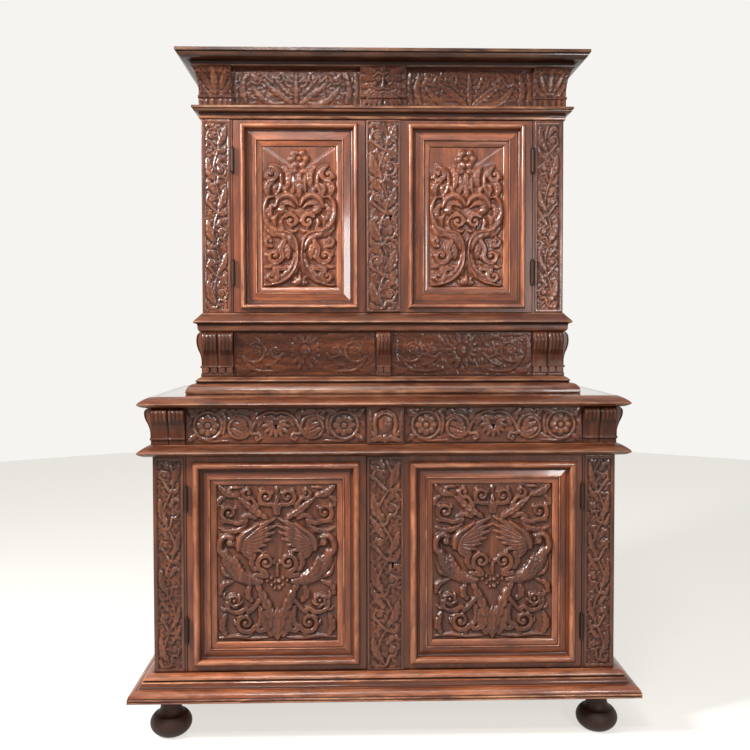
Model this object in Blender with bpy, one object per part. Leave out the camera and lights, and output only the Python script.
"""A carved walnut buffet in two parts: a low cupboard with two drawers, and a narrower one that stands on it.

X runs to the right, Y to the back and Z up. The origin is on the floor, under the middle of the buffet's box.
"""

import math
from dataclasses import dataclass

import bmesh
import bpy
from mathutils import Matrix

# Driving dimensions, in metres
LOWER_WIDTH = 1.339
LOWER_DEPTH = 0.505
UPPER_WIDTH = 1.090
UPPER_SETBACK = 0.126

# Heights of the layers, from the floor up
FOOT_HEIGHT = 0.126
PLINTH_HEIGHT = 0.0665
LOWER_DOOR_OPENING = 0.628
LOWER_WAIST_HEIGHT = 0.034
LOWER_DRAWER_OPENING = 0.106
LOWER_TOP_HEIGHT = 0.032
UPPER_BASE_HEIGHT = 0.050
UPPER_DRAWER_OPENING = 0.135
UPPER_WAIST_HEIGHT = 0.057
UPPER_DOOR_OPENING = 0.580
ARCHITRAVE_HEIGHT = 0.036
FRIEZE_HEIGHT = 0.116
CORNICE_HEIGHT = 0.042

# How far each moulding stands out past the posts
PLINTH_PROJECTION = 0.065
LOWER_WAIST_PROJECTION = 0.038
LOWER_TOP_PROJECTION = 0.037
UPPER_BASE_PROJECTION = 0.045
UPPER_WAIST_PROJECTION = 0.025
ARCHITRAVE_PROJECTION = 0.025
CORNICE_PROJECTION = 0.065
LOWER_CONSOLE_PROJECTION = 0.020
UPPER_CONSOLE_PROJECTION = 0.016
FRIEZE_BLOCK_PROJECTION = 0.030

# Carcass boards
LOWER_POST_WIDTH = 0.094
UPPER_POST_WIDTH = 0.092
POST_DEPTH = 0.060
SIDE_THICKNESS = 0.028
SIDE_RAIL = 0.085
SIDE_PANEL_RECESS = 0.010
BACK_THICKNESS = 0.015
BACK_PLANKS = 7
PLANK_GROOVE = 0.003
SHELF_THICKNESS = 0.020
SHELF_TONGUE = 0.010
SHELF_HOUSING = 0.006
SHELF_FRONT_SPACE = 0.010
SLAB_SKIN = 0.020
SLAB_RIM = 0.100
REAR_FOOT = 0.062
CONSOLE_DEPTH = 0.080
CONSOLE_SPLIT_WIDTH = 0.003
CONSOLE_SPLIT_DEPTH = 0.010
FRIEZE_BOARD = 0.024
FRIEZE_BLOCK_REVEAL = 0.004
FRIEZE_CENTRE_BLOCK = 0.139

# Turned front feet
FOOT_BALL_RADIUS = 0.0605
FOOT_BALL_HEIGHT = 0.070
FOOT_SHOULDER_RADIUS = 0.047
FOOT_NECK_RADIUS = 0.030
FOOT_NECK_LEVEL = 0.088
FOOT_COLLAR_RADIUS = 0.034
FOOT_PAD_RADIUS = 0.034
FOOT_FROM_SIDE = 0.040
FOOT_FROM_FRONT = 0.032

# Doors
DOOR_GAP = 0.002
BOLD_PROUD = 0.018
VALLEY_SINK = 0.003
BAND_PROUD = 0.002
PANEL_SINK = 0.010
PANEL_TONGUE = 0.008
PANEL_GROOVE = 0.009
PANEL_LIP = 0.006
PANEL_BACK_LIP = 0.0074
LOWER_STILE_STRIP = 0.018
LOWER_RAIL_STRIP = 0.016
LOWER_CREST = 0.011
LOWER_BOLD = 0.028
LOWER_BAND = 0.021
UPPER_STILE_STRIP = 0.022
UPPER_RAIL_STRIP = 0.011
UPPER_CREST = 0.006
UPPER_BOLD = 0.023
UPPER_BAND = 0.025
INNER_MOULDING = 0.018
LOWER_MEETING_WIDTH = 0.106
UPPER_MEETING_WIDTH = 0.104
MEETING_PROUD = 0.008

# Iron pin hinges, let into the post and the door's edge
HINGE_FROM_END = 0.122
HINGE_HEIGHT = 0.066
KNUCKLE_RADIUS = 0.0055
KNUCKLE_CLEARANCE = 0.0007
PIN_RADIUS = 0.0026
PIN_CLEARANCE = 0.0003
PIN_END_WALL = 0.011
LEAF_THICKNESS = 0.002
LEAF_DEPTH = 0.024

# Door locks, let into the meeting stile
BOLT_LENGTH = 0.068
BOLT_HEIGHT = 0.022
BOLT_THICKNESS = 0.008
BOLT_SETBACK = 0.001
BOLT_TRAVEL = 0.012
BOLT_FROM_FACE = 0.014
KEYHOLE_RADIUS = 0.0045
KEYHOLE_SLOT_WIDTH = 0.0045
KEYHOLE_DROP = 0.013

# Drawers
LOWER_DIVIDER_WIDTH = 0.108
UPPER_DIVIDER_WIDTH = 0.044
DIVIDER_BLOCK_DEPTH = 0.040
DIVIDER_WALL = 0.022
LOWER_DIVIDER_PROJECTION = 0.012
UPPER_DIVIDER_PROJECTION = 0.016
DRAWER_GAP = 0.002
DRAWER_FRONT_THICKNESS = 0.022
DRAWER_WALL = 0.011
DRAWER_BOX_DROP = 0.012
DRAWER_BACK_SPACE = 0.030
DRAWER_SIDE_SPACE = 0.003
DRAWER_KEYHOLE_DEPTH = 0.016
GUIDE_WIDTH = 0.018
GUIDE_HEIGHT = 0.016
GUIDE_CLEARANCE = 0.0008

# Gap between seated faces, clearance of a piece in its housing, and fineness of round shapes
FIT = 0.0003
HOUSING_CLEARANCE = 0.0005
CUT_MARGIN = 0.010
ARC_STEPS = 5
TURNED_SIDES = 24
KNUCKLE_SIDES = 14

# Levels, worked out from the layer heights
Z_PLINTH = FOOT_HEIGHT
Z_LOWER_DOOR = Z_PLINTH + PLINTH_HEIGHT
Z_LOWER_WAIST = Z_LOWER_DOOR + LOWER_DOOR_OPENING
Z_LOWER_DRAWER = Z_LOWER_WAIST + LOWER_WAIST_HEIGHT
Z_LOWER_TOP = Z_LOWER_DRAWER + LOWER_DRAWER_OPENING
Z_UPPER_BASE = Z_LOWER_TOP + LOWER_TOP_HEIGHT
Z_UPPER_DRAWER = Z_UPPER_BASE + UPPER_BASE_HEIGHT
Z_UPPER_WAIST = Z_UPPER_DRAWER + UPPER_DRAWER_OPENING
Z_UPPER_DOOR = Z_UPPER_WAIST + UPPER_WAIST_HEIGHT
Z_ARCHITRAVE = Z_UPPER_DOOR + UPPER_DOOR_OPENING
Z_FRIEZE = Z_ARCHITRAVE + ARCHITRAVE_HEIGHT
Z_CORNICE = Z_FRIEZE + FRIEZE_HEIGHT

# Depths and thicknesses, with the box of the plinth and the carcass centred on the origin
LOWER_FRONT = PLINTH_PROJECTION - (PLINTH_PROJECTION + LOWER_DEPTH) / 2
BACK = LOWER_FRONT + LOWER_DEPTH
UPPER_FRONT = LOWER_FRONT + UPPER_SETBACK
CARCASS_BACK = BACK - BACK_THICKNESS - FIT
DOOR_THICKNESS = PANEL_SINK + PANEL_LIP + PANEL_TONGUE + 2 * FIT + PANEL_BACK_LIP
KNUCKLE_STAND = KNUCKLE_RADIUS + KNUCKLE_CLEARANCE
KEYHOLE_FROM_EDGE = BOLT_SETBACK + BOLT_LENGTH + HOUSING_CLEARANCE + KEYHOLE_RADIUS


@dataclass(frozen=True)
class Door:
    """Widths of the members of a door's face, from its outer edge to its panel."""

    stile_strip: float
    rail_strip: float
    crest: float
    bold: float
    band: float


@dataclass(frozen=True)
class Body:
    """One of the buffet's two parts: its posts, the layers of its doors and drawers, and its widths."""

    name: str
    half: float
    front: float
    door_low: float
    door_high: float
    drawer_low: float
    drawer_high: float
    back_low: float
    back_high: float
    post_width: float
    meeting_width: float
    divider_width: float
    door: Door

    @property
    def post_inside(self):
        return self.half - self.post_width


LOWER = Body(
    "lower",
    LOWER_WIDTH / 2,
    LOWER_FRONT,
    Z_LOWER_DOOR,
    Z_LOWER_WAIST,
    Z_LOWER_DRAWER,
    Z_LOWER_TOP,
    Z_LOWER_DOOR,
    Z_LOWER_TOP,
    LOWER_POST_WIDTH,
    LOWER_MEETING_WIDTH,
    LOWER_DIVIDER_WIDTH,
    Door(LOWER_STILE_STRIP, LOWER_RAIL_STRIP, LOWER_CREST, LOWER_BOLD, LOWER_BAND),
)
UPPER = Body(
    "upper",
    UPPER_WIDTH / 2,
    UPPER_FRONT,
    Z_UPPER_DOOR,
    Z_ARCHITRAVE,
    Z_UPPER_DRAWER,
    Z_UPPER_WAIST,
    Z_UPPER_DRAWER,
    Z_CORNICE,
    UPPER_POST_WIDTH,
    UPPER_MEETING_WIDTH,
    UPPER_DIVIDER_WIDTH,
    Door(UPPER_STILE_STRIP, UPPER_RAIL_STRIP, UPPER_CREST, UPPER_BOLD, UPPER_BAND),
)
SIDES = {"left": -1, "right": 1}


# Materials


def material(name, colour, roughness, metallic=0.0):
    made = bpy.data.materials.new(name)
    made.use_nodes = True
    shader = made.node_tree.nodes["Principled BSDF"]
    shader.inputs["Base Color"].default_value = (*colour, 1.0)
    shader.inputs["Roughness"].default_value = roughness
    shader.inputs["Metallic"].default_value = metallic
    return made


def make_materials():
    return {
        "walnut": material("polished_walnut", (0.115, 0.040, 0.018), 0.36),
        "carved": material("carved_walnut", (0.090, 0.032, 0.016), 0.34),
        "inside": material("bare_oak", (0.235, 0.130, 0.065), 0.70),
        "iron": material("wrought_iron", (0.030, 0.027, 0.026), 0.52, 1.0),
    }


# Mesh helpers


def add_object(name, mesh_builder, finish):
    """An object from a bmesh whose faces all end up pointing out."""
    bmesh.ops.recalc_face_normals(mesh_builder, faces=mesh_builder.faces)
    mesh = bpy.data.meshes.new(name)
    mesh_builder.to_mesh(mesh)
    mesh_builder.free()
    mesh.materials.append(finish)
    made = bpy.data.objects.new(name, mesh)
    bpy.context.scene.collection.objects.link(made)
    return made


def loft_into(builder, rings, closed=False):
    """Skins rings of points that all have one count. The two ends are capped, or joined to each other."""
    loops = [[builder.verts.new(point) for point in ring] for ring in rings]
    pairs = list(zip(loops, loops[1:]))
    if closed:
        pairs.append((loops[-1], loops[0]))
    else:
        builder.faces.new(loops[0])
        builder.faces.new(loops[-1])
    for low, high in pairs:
        for i in range(len(low)):
            builder.faces.new((low[i - 1], low[i], high[i], high[i - 1]))


def loft(name, rings, finish, closed=False):
    builder = bmesh.new()
    loft_into(builder, rings, closed)
    return add_object(name, builder, finish)


def rectangle(x, y, z):
    """The corners of a level rectangle: x and y are its lowest and highest values."""
    return [(x[0], y[0], z), (x[1], y[0], z), (x[1], y[1], z), (x[0], y[1], z)]


def upright(x, y, z):
    """The corners of a rectangle that stands facing the front, at depth y."""
    return [(x[0], y, z[0]), (x[1], y, z[0]), (x[1], y, z[1]), (x[0], y, z[1])]


def box_into(builder, x, y, z):
    """A box between the lowest and highest x, y and z."""
    middle = [(low + high) / 2 for low, high in (x, y, z)]
    size = [high - low for low, high in (x, y, z)]
    bmesh.ops.create_cube(builder, size=1, matrix=Matrix.Translation(middle) @ Matrix.Diagonal((*size, 1)))


def cylinder_into(builder, radius, z):
    """An upright cylinder on the Z axis, as fine as the hinge knuckles."""
    bmesh.ops.create_cone(
        builder,
        cap_ends=True,
        segments=KNUCKLE_SIDES,
        radius1=radius,
        radius2=radius,
        depth=z[1] - z[0],
        matrix=Matrix.Translation((0, 0, (z[0] + z[1]) / 2)),
    )


def board(name, x, y, z, finish):
    builder = bmesh.new()
    box_into(builder, x, y, z)
    return add_object(name, builder, finish)


def mirrored(span, sign):
    """A span on the left side for sign -1, and the same span on the right for 1."""
    return tuple(sorted((sign * span[0], sign * span[1])))


def use_boolean(target, builder, operation):
    """Joins a hidden helper's solids to the target, or cuts them from it."""
    helper = add_object(f"{target.name}_{operation.lower()}", builder, target.data.materials[0])
    helper.parent = target
    helper.hide_render = True
    helper.display_type = "WIRE"
    modifier = target.modifiers.new(operation.title(), "BOOLEAN")
    modifier.operation = operation
    modifier.solver = "EXACT"
    modifier.object = helper


# Moulding profiles, each a list of (out, up) from the bottom to the top, drawn in shares and then sized


def quarter(start, end, leaves):
    """Points of a quarter ellipse after its start. It leaves the start running flat, or upright."""
    points = []
    for step in range(1, ARC_STEPS + 1):
        turn = math.pi / 2 * step / ARC_STEPS
        if leaves == "flat":
            out = start[0] + (end[0] - start[0]) * math.sin(turn)
            up = end[1] + (start[1] - end[1]) * math.cos(turn)
        else:
            out = end[0] + (start[0] - end[0]) * math.cos(turn)
            up = start[1] + (end[1] - start[1]) * math.sin(turn)
        points.append((out, up))
    return points


def ogee(start, end):
    """Points of an S-shaped sweep after its start, upright at both ends."""
    points = []
    for step in range(1, 2 * ARC_STEPS + 1):
        share = step / (2 * ARC_STEPS)
        out = start[0] + (end[0] - start[0]) * (1 - math.cos(math.pi * share)) / 2
        points.append((out, start[1] + (end[1] - start[1]) * share))
    return points


def sized(shares, projection, height):
    return [(out * projection, up * height) for out, up in shares]


def plinth_profile():
    """A grooved lip, a round member with a hollow above it, a quirk and a rounded top member."""
    lip = [(0.98, 0.0), (1.0, 0.02), (1.0, 0.07), (0.97, 0.08), (0.97, 0.11), (1.0, 0.12), (1.0, 0.18)]
    round_member = [(0.97, 0.20)] + quarter((0.97, 0.20), (0.68, 0.46), "upright")
    hollow = [(0.60, 0.48)] + quarter((0.60, 0.48), (0.46, 0.70), "flat")
    quirk = [(0.36, 0.73), (0.36, 0.79), (0.43, 0.80)]
    return lip + round_member + hollow + quirk + quarter((0.43, 0.80), (0.10, 1.0), "upright")


def thumb_profile():
    """A beak: a bevel out to a thin edge, and a full slope back above it."""
    bevel = [(0.30, 0.0), (0.54, 0.04), (0.78, 0.16), (0.97, 0.31), (1.0, 0.34)]
    return bevel + [(0.985, 0.39), (0.93, 0.47), (0.84, 0.56), (0.70, 0.67), (0.52, 0.79), (0.32, 0.90), (0.11, 1.0)]


def upper_base_profile():
    """A broad quarter round with a small beak on it."""
    round_member = [(0.95, 0.0), (1.0, 0.07)] + quarter((1.0, 0.07), (0.48, 0.60), "upright")
    return round_member + [(0.36, 0.62), (0.36, 0.66), (0.44, 0.74), (0.44, 0.78), (0.30, 0.88), (0.10, 1.0)]


def upper_waist_profile():
    """A round member, a hollow that runs out to a thin edge, and a slope back to the posts."""
    round_member = [(0.13, 0.0)] + quarter((0.13, 0.0), (0.53, 0.24), "flat")
    hollow = [(0.53, 0.34)] + quarter((0.53, 0.34), (0.88, 0.46), "upright")
    return round_member + hollow + [(1.0, 0.51), (1.0, 0.535), (0.88, 0.60), (0.24, 0.89), (0.06, 1.0)]


def architrave_profile():
    """A bead, an ogee and a top fillet."""
    bead = [(0.10, 0.0), (0.24, 0.05), (0.24, 0.24), (0.14, 0.27)]
    ogee = quarter((0.14, 0.27), (0.50, 0.52), "upright") + quarter((0.50, 0.52), (0.86, 0.76), "flat")
    return bead + ogee + [(1.0, 0.80), (1.0, 1.0)]


def cornice_profile():
    """A deep ogee under a square top fillet."""
    ogee = quarter((0.36, 0.06), (0.62, 0.36), "upright") + quarter((0.62, 0.36), (0.92, 0.74), "flat")
    return [(0.30, 0.0), (0.36, 0.06)] + ogee + [(1.0, 0.78), (1.0, 1.0)]


def lower_console_profile():
    """A straight foot with a fillet, an S-shaped sweep forward and a rolled top."""
    foot = [(0.10, 0.0), (0.10, 0.11), (0.28, 0.12), (0.28, 0.16), (0.16, 0.18), (0.16, 0.30)]
    return foot + ogee((0.16, 0.30), (1.0, 0.85)) + quarter((1.0, 0.85), (0.20, 1.0), "upright")


def upper_console_profile():
    """A square foot with a fillet, then an S-shaped sweep into a cushion."""
    foot = [(0.22, 0.0), (0.22, 0.19), (0.40, 0.20), (0.40, 0.23), (0.12, 0.24), (0.12, 0.34)]
    return foot + ogee((0.12, 0.34), (1.0, 0.80)) + quarter((1.0, 0.80), (0.33, 1.0), "upright")


def frieze_block_profile():
    """A low bead, then a hollow that sweeps out under the cornice."""
    bead = [(0.14, 0.0), (0.14, 0.20), (0.24, 0.22), (0.24, 0.27), (0.14, 0.29)]
    return bead + quarter((0.14, 0.29), (1.0, 1.0), "upright")


def plain_block_profile():
    return [(1.0, 0.0), (1.0, 1.0)]


# Slabs with moulded edges


def moulded_slab(name, body, back, low, profile, finish, pocket=0.0):
    """A board whose front and ends carry a profile. A pocket hollows it from below, inside its rim."""
    half, front = body.half, body.front
    rings = []
    if pocket:
        inner_x = (SLAB_RIM - half, half - SLAB_RIM)
        inner_y = (front + SLAB_RIM, back - SLAB_RIM)
        rings = [rectangle(inner_x, inner_y, low + pocket), rectangle(inner_x, inner_y, low)]
    for out, up in profile:
        rings.append(rectangle((-half - out, half + out), (front - out, back), low + up))
    return loft(name, rings, finish)


def add_guides(slab, body, level):
    """Strips planted on the slab that the drawers run between."""
    builder = bmesh.new()
    outside = body.post_inside - DRAWER_GAP - DRAWER_SIDE_SPACE + GUIDE_CLEARANCE
    inside = body.divider_width / 2 + DRAWER_GAP + DRAWER_SIDE_SPACE - GUIDE_CLEARANCE
    strips = {
        (outside, outside + GUIDE_WIDTH): CONSOLE_DEPTH,
        (DIVIDER_WALL / 2 + FIT, inside): DIVIDER_BLOCK_DEPTH,
    }
    for sign in SIDES.values():
        for x, block in strips.items():
            y = (body.front + block + GUIDE_CLEARANCE, CARCASS_BACK - FIT)
            box_into(builder, mirrored(x, sign), y, (level - SLAB_SKIN / 2, level + GUIDE_HEIGHT))
    use_boolean(slab, builder, "UNION")


def add_rear_feet(base):
    """Square feet at the back, made in one with the plinth."""
    builder = bmesh.new()
    for sign in SIDES.values():
        x = mirrored((LOWER.half - REAR_FOOT, LOWER.half), sign)
        y = (BACK - FIT - REAR_FOOT, BACK - FIT)
        box_into(builder, x, y, (0.0, Z_PLINTH + PLINTH_HEIGHT / 2))
    use_boolean(base, builder, "UNION")


def make_lower_slabs(finish):
    profile = sized(plinth_profile(), PLINTH_PROJECTION, PLINTH_HEIGHT)
    base = moulded_slab("lower_base", LOWER, BACK, Z_PLINTH, profile, finish, PLINTH_HEIGHT - SLAB_SKIN)
    add_rear_feet(base)
    profile = sized(thumb_profile(), LOWER_WAIST_PROJECTION, LOWER_WAIST_HEIGHT)
    deck = moulded_slab("lower_deck", LOWER, CARCASS_BACK, Z_LOWER_WAIST, profile, finish)
    add_guides(deck, LOWER, Z_LOWER_DRAWER)
    profile = sized(thumb_profile(), LOWER_TOP_PROJECTION, LOWER_TOP_HEIGHT)
    moulded_slab("lower_top", LOWER, BACK, Z_LOWER_TOP, profile, finish)


def make_upper_slabs(finish):
    height = UPPER_BASE_HEIGHT - FIT
    profile = sized(upper_base_profile(), UPPER_BASE_PROJECTION, height)
    base = moulded_slab("upper_base", UPPER, BACK, Z_UPPER_BASE + FIT, profile, finish, height - SLAB_SKIN)
    add_guides(base, UPPER, Z_UPPER_DRAWER)
    profile = sized(upper_waist_profile(), UPPER_WAIST_PROJECTION, UPPER_WAIST_HEIGHT)
    moulded_slab("upper_deck", UPPER, CARCASS_BACK, Z_UPPER_WAIST, profile, finish)
    profile = sized(architrave_profile(), ARCHITRAVE_PROJECTION, ARCHITRAVE_HEIGHT)
    moulded_slab("upper_architrave", UPPER, CARCASS_BACK, Z_ARCHITRAVE, profile, finish)
    profile = sized(cornice_profile(), CORNICE_PROJECTION, CORNICE_HEIGHT)
    moulded_slab("upper_cornice", UPPER, BACK, Z_CORNICE, profile, finish, CORNICE_HEIGHT - SLAB_SKIN)


# Carcass


def hinge_levels(body):
    """The bottom of each of a door's two hinges."""
    low = body.door_low + HINGE_FROM_END - HINGE_HEIGHT / 2
    high = body.door_high - HINGE_FROM_END - HINGE_HEIGHT / 2
    return {"bottom": low, "top": high}


def shelf_level(body):
    return (body.door_low + body.door_high) / 2 - SHELF_THICKNESS / 2


def make_side(body, side, finish):
    """A side frame: the front post with the side board behind it, its panel sunk in the outer face."""
    sign = SIDES[side]
    front_to_back = (body.front, body.front + POST_DEPTH, CARCASS_BACK)
    outer, inner, wall = body.half, body.post_inside, body.half - SIDE_THICKNESS
    plan = [
        (outer, front_to_back[0]),
        (inner, front_to_back[0]),
        (inner, front_to_back[1]),
        (wall, front_to_back[1]),
        (wall, front_to_back[2]),
        (outer, front_to_back[2]),
    ]
    levels = (body.door_low + FIT, body.door_high - FIT)
    rings = [[(sign * x, y, z) for x, y in plan] for z in levels]
    made = loft(f"{body.name}_side_{side}", rings, finish)

    builder = bmesh.new()
    box_into(
        builder,
        mirrored((outer - SIDE_PANEL_RECESS, outer + CUT_MARGIN), sign),
        (body.front + SIDE_RAIL, CARCASS_BACK - SIDE_RAIL),
        (body.door_low + SIDE_RAIL, body.door_high - SIDE_RAIL),
    )
    shelf = shelf_level(body)
    box_into(
        builder,
        mirrored((wall - CUT_MARGIN, wall + SHELF_HOUSING), sign),
        (body.front + POST_DEPTH + SHELF_FRONT_SPACE - FIT, CARCASS_BACK + CUT_MARGIN),
        (shelf - FIT, shelf + SHELF_TONGUE + FIT),
    )
    for level in hinge_levels(body).values():
        box_into(
            builder,
            mirrored((inner - CUT_MARGIN, inner + LEAF_THICKNESS + 2 * FIT), sign),
            (body.front - CUT_MARGIN, body.front + LEAF_DEPTH + FIT),
            (level - FIT, level + HINGE_HEIGHT / 2 + FIT),
        )
    use_boolean(made, builder, "DIFFERENCE")


def make_back(body, finish):
    """Upright planks nailed over the back, with a groove at each joint."""
    half = body.half
    plank = 2 * half / BACK_PLANKS
    plan = [(-half, CARCASS_BACK + FIT), (half, CARCASS_BACK + FIT), (half, BACK)]
    for i in range(BACK_PLANKS - 1, 0, -1):
        joint = -half + i * plank
        plan += [(joint + PLANK_GROOVE, BACK), (joint, BACK - PLANK_GROOVE), (joint - PLANK_GROOVE, BACK)]
    plan.append((-half, BACK))
    levels = (body.back_low + FIT, body.back_high - FIT)
    loft(f"{body.name}_back", [[(x, y, z) for x, y in plan] for z in levels], finish)


def make_shelf(body, finish):
    """The top lies between the side frames, and a tongue under each end goes into the side's housing."""
    shoulder = body.half - SIDE_THICKNESS - FIT
    end = body.half - SIDE_THICKNESS + SHELF_HOUSING - FIT
    level = shelf_level(body)
    right = [
        (end, level),
        (end, level + SHELF_TONGUE),
        (shoulder, level + SHELF_TONGUE),
        (shoulder, level + SHELF_THICKNESS),
    ]
    outline = right + [(-x, z) for x, z in reversed(right)]
    edges = (body.front + POST_DEPTH + SHELF_FRONT_SPACE, CARCASS_BACK - FIT)
    loft(f"{body.name}_shelf", [[(x, y, z) for x, z in outline] for y in edges], finish)


def make_console(body, side, profile, finish):
    """A corner block of consoles that swell to the front and to the side, with the drawer layer's side board."""
    sign = SIDES[side]
    outer, inner, wall = body.half, body.post_inside, body.half - SIDE_THICKNESS
    front, block = body.front, body.front + CONSOLE_DEPTH
    rings = []
    for out, up in profile:
        plan = [
            (outer + out, front),
            (outer, front),
            (outer, front - out),
            (inner, front - out),
            (inner, block),
            (wall, block),
            (wall, CARCASS_BACK),
            (outer, CARCASS_BACK),
            (outer, block),
            (outer + out, block),
        ]
        rings.append([(sign * x, y, body.drawer_low + FIT + up) for x, y in plan])
    made = loft(f"{body.name}_console_{side}", rings, finish)

    builder = bmesh.new()
    middle = sign * (outer + inner) / 2
    box_into(
        builder,
        (middle - CONSOLE_SPLIT_WIDTH / 2, middle + CONSOLE_SPLIT_WIDTH / 2),
        (front - CUT_MARGIN - max(out for out, _ in profile), front + CONSOLE_SPLIT_DEPTH),
        (body.drawer_low - CUT_MARGIN, body.drawer_high + CUT_MARGIN),
    )
    use_boolean(made, builder, "DIFFERENCE")


def make_divider(body, profile, finish):
    """The upright between the drawers: an ornamented block in front and a plain wall behind it."""
    half, wall = body.divider_width / 2, DIVIDER_WALL / 2
    front, block = body.front, body.front + DIVIDER_BLOCK_DEPTH
    rings = []
    for out, up in profile:
        plan = [
            (-half, front - out),
            (half, front - out),
            (half, block),
            (wall, block),
            (wall, CARCASS_BACK),
            (-wall, CARCASS_BACK),
            (-wall, block),
            (-half, block),
        ]
        rings.append([(x, y, body.drawer_low + FIT + up) for x, y in plan])
    loft(f"{body.name}_drawer_divider", rings, finish)


def make_frieze(finish):
    """The board round three sides under the cornice, with a block at each corner and one in the middle."""
    half, corner, centre = UPPER.half, UPPER.post_inside, FRIEZE_CENTRE_BLOCK / 2
    panel = UPPER_FRONT + FRIEZE_BLOCK_REVEAL
    inside = panel + FRIEZE_BOARD
    side_panel = half - FRIEZE_BLOCK_REVEAL
    block_back = UPPER_FRONT + UPPER_POST_WIDTH
    height = FRIEZE_HEIGHT - 2 * FIT
    rings = []
    for out, up in sized(frieze_block_profile(), FRIEZE_BLOCK_PROJECTION, height):
        face = UPPER_FRONT - out
        right = [
            (centre, face),
            (centre, panel),
            (corner, panel),
            (corner, face),
            (half + out, face),
            (half + out, block_back),
            (side_panel, block_back),
            (side_panel, CARCASS_BACK),
            (side_panel - FRIEZE_BOARD, CARCASS_BACK),
            (side_panel - FRIEZE_BOARD, inside),
        ]
        plan = right + [(-x, y) for x, y in reversed(right)]
        rings.append([(x, y, Z_FRIEZE + FIT + up) for x, y in plan])
    loft("upper_frieze", rings, finish)


def make_foot(side, finish):
    """A turned foot: a flattened ball on a pad, a hollow shoulder, a slim neck and a collar under the plinth."""
    centre = (SIDES[side] * (LOWER.half - FOOT_FROM_SIDE), LOWER_FRONT + FOOT_FROM_FRONT)
    middle = FOOT_BALL_HEIGHT / 2
    pad_angle = -math.acos(FOOT_PAD_RADIUS / FOOT_BALL_RADIUS)
    shoulder_angle = math.acos(FOOT_SHOULDER_RADIUS / FOOT_BALL_RADIUS)
    squash = middle / math.sin(-pad_angle)
    profile = []
    for step in range(2 * ARC_STEPS + 1):
        turn = pad_angle + (shoulder_angle - pad_angle) * step / (2 * ARC_STEPS)
        profile.append((FOOT_BALL_RADIUS * math.cos(turn), middle + squash * math.sin(turn)))
    top = FOOT_HEIGHT - FIT
    collar = (FOOT_NECK_LEVEL + top) / 2
    profile += quarter(profile[-1], (FOOT_NECK_RADIUS, FOOT_NECK_LEVEL), "flat")
    profile += quarter((FOOT_NECK_RADIUS, FOOT_NECK_LEVEL), (FOOT_COLLAR_RADIUS, collar), "upright")
    profile.append((FOOT_COLLAR_RADIUS, top))
    builder = bmesh.new()
    verts = [builder.verts.new((centre[0] + radius, centre[1], z)) for radius, z in profile]
    edges = [builder.edges.new(pair) for pair in zip(verts, verts[1:])]
    bmesh.ops.spin(
        builder,
        geom=verts + edges,
        cent=(*centre, 0),
        axis=(0, 0, 1),
        angle=2 * math.pi,
        steps=TURNED_SIDES,
        use_merge=True,
    )
    bmesh.ops.holes_fill(builder, edges=[edge for edge in builder.edges if edge.is_boundary])
    made = add_object(f"foot_front_{side}", builder, finish)
    made.data.shade_smooth()
    made.data.set_sharp_from_angle(angle=math.radians(50))


# Doors


def door_span(body, side):
    """A door frame's lowest and highest x, and z. The meeting stile stands between the two frames."""
    x = (body.meeting_width / 2 + DOOR_GAP, body.post_inside - DOOR_GAP)
    if side == "right":
        x = (body.meeting_width / 2 + FIT, x[1])
    return mirrored(x, SIDES[side]), (body.door_low + DOOR_GAP, body.door_high - DOOR_GAP)


def door_members(body):
    """A door frame's face as (inset past the strip, proud of the face), from the strip to the panel."""
    crest, bold, band = body.door.crest, body.door.bold, body.door.band
    middle = ((crest + bold) / 2, (BOLD_PROUD - VALLEY_SINK) / 2)
    lip = bold + band + INNER_MOULDING
    points = [(0.0, 0.0), (0.0, 0.3 * BOLD_PROUD)]
    points += quarter((0.0, 0.3 * BOLD_PROUD), (crest, BOLD_PROUD), "upright")
    points += quarter((crest, BOLD_PROUD), middle, "flat")
    points += quarter(middle, (bold, -VALLEY_SINK), "upright")
    points += [(bold + band, BAND_PROUD), (bold + band, -0.2 * PANEL_SINK)]
    points += quarter((bold + band, -0.2 * PANEL_SINK), (lip, -0.8 * PANEL_SINK), "flat")
    return points


def panel_inset(body):
    return body.door.bold + body.door.band + INNER_MOULDING


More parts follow.
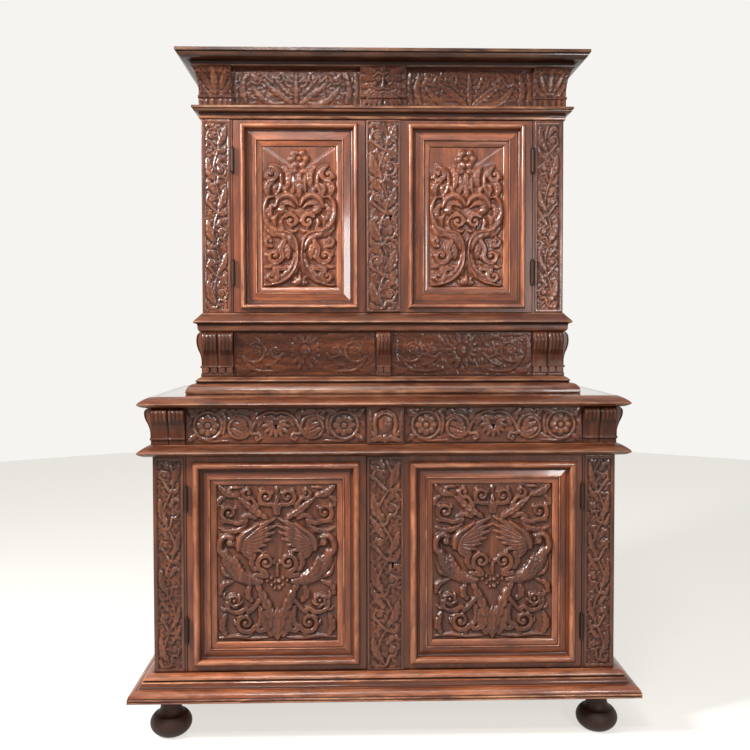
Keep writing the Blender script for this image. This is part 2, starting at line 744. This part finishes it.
def make_door_frame(body, side, finish):
    """Stiles and rails with their mouldings, grooved for the panel and let in for the hinge leaves."""
    x, z = door_span(body, side)
    front, back = body.front, body.front + DOOR_THICKNESS
    lip = panel_inset(body)
    groove_front = front + PANEL_SINK + PANEL_LIP
    groove_back = groove_front + PANEL_TONGUE + 2 * FIT

    def ring(inset, depth, past_strip=True):
        across = inset + (body.door.stile_strip if past_strip else 0.0)
        up = inset + (body.door.rail_strip if past_strip else 0.0)
        return upright((x[0] + across, x[1] - across), depth, (z[0] + up, z[1] - up))

    rings = [ring(0.0, back, False), ring(0.0, front, False)]
    rings += [ring(inset, front - proud) for inset, proud in door_members(body)]
    rings += [
        ring(lip, groove_front),
        ring(lip - PANEL_GROOVE, groove_front),
        ring(lip - PANEL_GROOVE, groove_back),
        ring(lip, groove_back),
        ring(lip, back),
    ]
    made = loft(f"{body.name}_{side}_door_frame", rings, finish, closed=True)

    sign = SIDES[side]
    edge = x[1] if side == "right" else x[0]
    builder = bmesh.new()
    for level in hinge_levels(body).values():
        box_into(
            builder,
            tuple(sorted((edge + sign * CUT_MARGIN, edge - sign * (LEAF_THICKNESS + 2 * FIT)))),
            (front - CUT_MARGIN, front + LEAF_DEPTH + FIT),
            (level + HINGE_HEIGHT / 2 - FIT, level + HINGE_HEIGHT + FIT),
        )
    if side == "left":
        bolt_y, bolt_z = bolt_housing(body)
        reach = BOLT_TRAVEL - BOLT_SETBACK - DOOR_GAP + HOUSING_CLEARANCE
        box_into(builder, (x[1] - reach, x[1] + CUT_MARGIN), bolt_y, bolt_z)
    use_boolean(made, builder, "DIFFERENCE")


def make_door_panel(body, side, finish):
    """A panel whose tongue floats in the frame's groove, with its field brought forward into the opening."""
    x, z = door_span(body, side)
    lip = panel_inset(body)
    across, up = lip + body.door.stile_strip, lip + body.door.rail_strip
    field_front = body.front + PANEL_SINK
    tongue_front = field_front + PANEL_LIP + FIT
    tongue_back = tongue_front + PANEL_TONGUE
    tongue = PANEL_GROOVE - HOUSING_CLEARANCE

    def ring(grow, depth):
        return upright(
            (x[0] + across - grow, x[1] - across + grow), depth, (z[0] + up - grow, z[1] - up + grow)
        )

    rings = [
        ring(tongue, tongue_back),
        ring(tongue, tongue_front),
        ring(-HOUSING_CLEARANCE, tongue_front),
        ring(-HOUSING_CLEARANCE, field_front),
    ]
    loft(f"{body.name}_{side}_door_panel", rings, finish)


def bolt_housing(body):
    """Depth and height of the slot that a lock's bolt slides in."""
    low = body.front + BOLT_FROM_FACE
    y = (low - HOUSING_CLEARANCE, low + BOLT_THICKNESS + HOUSING_CLEARANCE)
    middle = (body.door_low + body.door_high) / 2
    reach = BOLT_HEIGHT / 2 + HOUSING_CLEARANCE
    return y, (middle - reach, middle + reach)


def keyhole_into(builder, x, z, y):
    """A keyhole's round eye with its slot below, through the depths in y."""
    half = KEYHOLE_SLOT_WIDTH / 2
    mouth = math.asin(half / KEYHOLE_RADIUS)
    steps = 2 * ARC_STEPS
    outline = []
    for i in range(steps + 1):
        turn = mouth + (2 * math.pi - 2 * mouth) * i / steps
        outline.append((x + KEYHOLE_RADIUS * math.sin(turn), z - KEYHOLE_RADIUS * math.cos(turn)))
    outline += [(x - half, z - KEYHOLE_DROP), (x + half, z - KEYHOLE_DROP)]
    loft_into(builder, [[(px, depth, pz) for px, pz in outline] for depth in y])
    bmesh.ops.recalc_face_normals(builder, faces=builder.faces)


def make_meeting_stile(body, finish):
    """The carved strip on the right door's free edge, slotted for the bolt and pierced by the keyhole."""
    half = body.meeting_width / 2
    _, z = door_span(body, "right")
    y = (body.front - MEETING_PROUD, body.front + DOOR_THICKNESS)
    made = board(f"{body.name}_meeting_stile", (-half, half), y, z, finish)
    builder = bmesh.new()
    slot_y, slot_z = bolt_housing(body)
    keyhole = -half + KEYHOLE_FROM_EDGE
    box_into(builder, (-half - CUT_MARGIN, keyhole), slot_y, slot_z)
    use_boolean(made, builder, "DIFFERENCE")
    builder = bmesh.new()
    middle = (body.door_low + body.door_high) / 2
    keyhole_into(builder, keyhole, middle, (y[0] - CUT_MARGIN, slot_y[1] - FIT))
    use_boolean(made, builder, "DIFFERENCE")


def make_lock_bolt(body, finish):
    tip = -body.meeting_width / 2 + BOLT_SETBACK
    y, z = bolt_housing(body)
    board(
        f"{body.name}_lock_bolt",
        (tip, tip + BOLT_LENGTH),
        (y[0] + HOUSING_CLEARANCE, y[1] - HOUSING_CLEARANCE),
        (z[0] + HOUSING_CLEARANCE, z[1] - HOUSING_CLEARANCE),
        finish,
    )


# Hinges


def knuckle_plan(sign):
    """A knuckle with its leaf, seen from above with the pin at the origin. The leaf lies on sign's side."""
    near = sign * (DOOR_GAP / 2 + FIT)
    far = near + sign * LEAF_THICKNESS
    reach = KNUCKLE_STAND + LEAF_DEPTH
    start = math.atan2(math.sqrt(KNUCKLE_RADIUS**2 - near**2), near)
    end = math.atan2(math.sqrt(KNUCKLE_RADIUS**2 - far**2), far)
    sweep = end - start
    if sign > 0:
        sweep = 2 * math.pi + sweep
    else:
        sweep = sweep - 2 * math.pi
    plan = []
    for i in range(KNUCKLE_SIDES + 1):
        turn = start + sweep * i / KNUCKLE_SIDES
        plan.append((KNUCKLE_RADIUS * math.cos(turn), KNUCKLE_RADIUS * math.sin(turn)))
    return plan + [(far, reach), (near, reach)]


def make_hinge(body, side, place, level, finish):
    """The pintle, a knuckle on the post with its pin, and the eye on the door that drops over the pin."""
    sign = SIDES[side]
    axis = (sign * (body.post_inside - DOOR_GAP / 2), body.front - KNUCKLE_STAND)
    middle = level + HINGE_HEIGHT / 2
    name = f"{body.name}_{side}_{place}_hinge"

    def knuckle(part, leaf_sign, low, high):
        plan = knuckle_plan(leaf_sign)
        rings = [[(x, y, z) for x, y in plan] for z in (low - level, high - level)]
        made = loft(f"{name}_{part}", rings, finish)
        made.location = (*axis, level)
        return made

    pin_top = HINGE_HEIGHT - PIN_END_WALL
    pintle = knuckle("pintle", sign, level, middle - FIT)
    builder = bmesh.new()
    cylinder_into(builder, PIN_RADIUS, (PIN_END_WALL, pin_top))
    use_boolean(pintle, builder, "UNION")

    eye = knuckle("eye", -sign, middle, level + HINGE_HEIGHT)
    builder = bmesh.new()
    bore_radius = (PIN_RADIUS + PIN_CLEARANCE) / math.cos(math.pi / KNUCKLE_SIDES)
    cylinder_into(builder, bore_radius, (HINGE_HEIGHT / 2 - CUT_MARGIN, pin_top + FIT))
    use_boolean(eye, builder, "DIFFERENCE")


# Drawers


def drawer_span(body, side):
    """A drawer front's lowest and highest x, and z."""
    x = (body.divider_width / 2 + DRAWER_GAP, body.post_inside - DRAWER_GAP)
    return mirrored(x, SIDES[side]), (body.drawer_low + DRAWER_GAP, body.drawer_high - DRAWER_GAP)


def make_drawer(body, side, keyhole, finish, box_finish):
    """A drawer front, and the box of sides, back and bottom behind it."""
    x, z = drawer_span(body, side)
    face_back = body.front + DRAWER_FRONT_THICKNESS
    front = board(f"{body.name}_{side}_drawer_front", x, (body.front, face_back), z, finish)
    if keyhole:
        builder = bmesh.new()
        depths = (body.front - CUT_MARGIN, body.front + DRAWER_KEYHOLE_DEPTH)
        keyhole_into(builder, (x[0] + x[1]) / 2, (z[0] + z[1]) / 2, depths)
        use_boolean(front, builder, "DIFFERENCE")

    builder = bmesh.new()
    box_into(
        builder,
        (x[0] + DRAWER_SIDE_SPACE, x[1] - DRAWER_SIDE_SPACE),
        (face_back + FIT, CARCASS_BACK - DRAWER_BACK_SPACE),
        (body.drawer_low + FIT, z[1] - DRAWER_BOX_DROP),
    )
    top = max(builder.faces, key=lambda face: face.calc_center_median().z)
    bmesh.ops.inset_region(builder, faces=[top], thickness=DRAWER_WALL)
    depth = z[1] - DRAWER_BOX_DROP - body.drawer_low - FIT - DRAWER_WALL
    bmesh.ops.translate(builder, verts=top.verts, vec=(0, 0, -depth))
    add_object(f"{body.name}_{side}_drawer_box", builder, box_finish)


# Joint axes


def add_axis(name, location, nodes, parent=None):
    """An empty on a joint's axis that carries the body's pieces, which stay where they are."""
    axis = bpy.data.objects.new(name, None)
    axis.location = location
    bpy.context.scene.collection.objects.link(axis)
    if parent:
        axis.parent = parent
        axis.matrix_parent_inverse = Matrix.Translation(parent.location).inverted()
    for node in nodes:
        piece = bpy.data.objects[node]
        piece.parent = axis
        piece.matrix_parent_inverse = Matrix.Translation(location).inverted()
    return axis


def add_axes(body):
    middle = (body.door_low + body.door_high) / 2
    for side, sign in SIDES.items():
        door = f"{body.name}_{side}"
        nodes = [f"{door}_door_frame", f"{door}_door_panel"]
        nodes += [f"{door}_{place}_hinge_eye" for place in hinge_levels(body)]
        if side == "right":
            nodes.append(f"{body.name}_meeting_stile")
        pin = (sign * (body.post_inside - DOOR_GAP / 2), body.front - KNUCKLE_STAND, middle)
        hinge = add_axis(f"{door}_door_axis", pin, nodes)
        if side == "right":
            tip = (-body.meeting_width / 2 + BOLT_SETBACK, body.front + BOLT_FROM_FACE, middle)
            add_axis(f"{body.name}_lock_axis", tip, [f"{body.name}_lock_bolt"], hinge)
        x, z = drawer_span(body, side)
        runner = ((x[0] + x[1]) / 2, body.front, z[0])
        add_axis(f"{door}_drawer_axis", runner, [f"{door}_drawer_front", f"{door}_drawer_box"])


def make_body(body, console, divider, drawer_locks, finishes):
    height = body.drawer_high - body.drawer_low - 2 * FIT
    console_profile = sized(console[0], console[1], height)
    divider_profile = sized(divider[0], divider[1], height)
    make_back(body, finishes["inside"])
    make_shelf(body, finishes["inside"])
    make_divider(body, divider_profile, finishes["carved"])
    make_meeting_stile(body, finishes["carved"])
    make_lock_bolt(body, finishes["iron"])
    for side in SIDES:
        make_side(body, side, finishes["walnut"])
        make_console(body, side, console_profile, finishes["carved"])
        make_door_frame(body, side, finishes["walnut"])
        make_door_panel(body, side, finishes["carved"])
        make_drawer(body, side, drawer_locks, finishes["carved"], finishes["inside"])
        for place, level in hinge_levels(body).items():
            make_hinge(body, side, place, level, finishes["iron"])
    add_axes(body)


def main():
    for old in list(bpy.data.objects):
        bpy.data.objects.remove(old)
    finishes = make_materials()
    for side in SIDES:
        make_foot(side, finishes["walnut"])
    make_lower_slabs(finishes["walnut"])
    make_upper_slabs(finishes["walnut"])
    make_body(
        LOWER,
        (lower_console_profile(), LOWER_CONSOLE_PROJECTION),
        (plain_block_profile(), LOWER_DIVIDER_PROJECTION),
        True,
        finishes,
    )
    make_body(
        UPPER,
        (upper_console_profile(), UPPER_CONSOLE_PROJECTION),
        (upper_console_profile(), UPPER_DIVIDER_PROJECTION),
        False,
        finishes,
    )
    make_frieze(finishes["carved"])


main()
